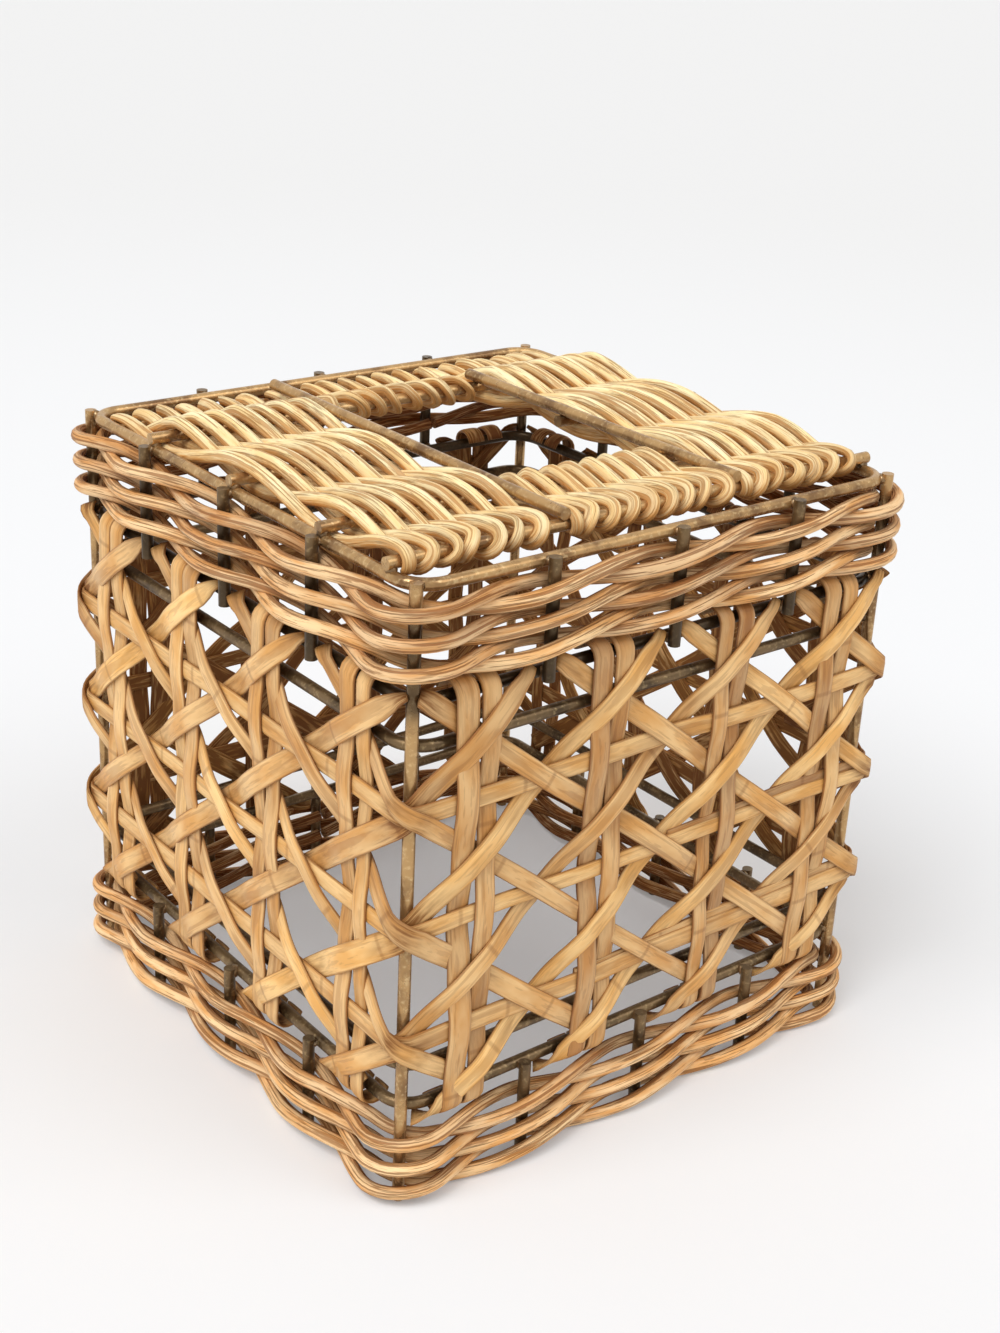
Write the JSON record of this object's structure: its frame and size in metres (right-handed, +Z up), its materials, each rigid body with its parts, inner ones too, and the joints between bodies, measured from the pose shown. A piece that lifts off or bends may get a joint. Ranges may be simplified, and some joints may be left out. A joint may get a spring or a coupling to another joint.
{
  "type": "tissue box cover",
  "caption": "Square open-bottom tissue box cover of flat cane and round rattan woven on a welded bronze wire frame, with an oblong opening in the top.",
  "frame": {"origin": "middle of the underside, on the surface that the cut ends of the posts and stakes stand on", "axes": "+Z up, -Y out of the front panel, +X to the right of the front panel"},
  "size_m": [0.1394, 0.1394, 0.1415],
  "materials": {
    "bronzed_wire": "satin",
    "flat_cane": "satin",
    "band_strand": "satin",
    "top_strand": "satin"
  },
  "bodies": {
    "root": {"cane_falling_back": "flat_cane", "cane_falling_front": "flat_cane", "cane_falling_left": "flat_cane", "cane_falling_right": "flat_cane", "cane_hoop_lower": "flat_cane", "cane_hoop_middle": "flat_cane", "cane_hoop_upper": "flat_cane", "cane_rising_back": "flat_cane", "cane_rising_front": "flat_cane", "cane_rising_left": "flat_cane", "cane_rising_right": "flat_cane", "cane_uprights_back": "flat_cane", "cane_uprights_front": "flat_cane", "cane_uprights_left": "flat_cane", "cane_uprights_right": "flat_cane", "corner_post_back_left": "bronzed_wire", "corner_post_back_right": "bronzed_wire", "corner_post_front_left": "bronzed_wire", "corner_post_front_right": "bronzed_wire", "lower_band_row_1_a": "band_strand", "lower_band_row_1_b": "band_strand", "lower_band_row_2_a": "band_strand", "lower_band_row_2_b": "band_strand", "lower_band_row_3_a": "band_strand", "lower_band_row_3_b": "band_strand", "lower_brace_ring": "bronzed_wire", "lower_ring": "bronzed_wire", "lower_stakes_back": "bronzed_wire", "lower_stakes_front": "bronzed_wire", "lower_stakes_left": "bronzed_wire", "lower_stakes_right": "bronzed_wire", "opening_rail_left": "bronzed_wire", "opening_rail_right": "bronzed_wire", "top_ring": "bronzed_wire", "top_spine_back": "bronzed_wire", "top_spine_back_inner": "bronzed_wire", "top_spine_front": "bronzed_wire", "top_spine_front_inner": "bronzed_wire", "top_spine_middle_left": "bronzed_wire", "top_spine_middle_right": "bronzed_wire", "top_weave_back": "top_strand", "top_weave_front": "top_strand", "top_weave_left": "top_strand", "top_weave_right": "top_strand", "upper_band_row_1_a": "band_strand", "upper_band_row_1_b": "band_strand", "upper_band_row_2_a": "band_strand", "upper_band_row_2_b": "band_strand", "upper_band_row_3_a": "band_strand", "upper_band_row_3_b": "band_strand", "upper_brace_ring": "bronzed_wire", "upper_ring": "bronzed_wire", "upper_stakes_back": "bronzed_wire", "upper_stakes_front": "bronzed_wire", "upper_stakes_left": "bronzed_wire", "upper_stakes_right": "bronzed_wire"}
  },
  "joints": []
}
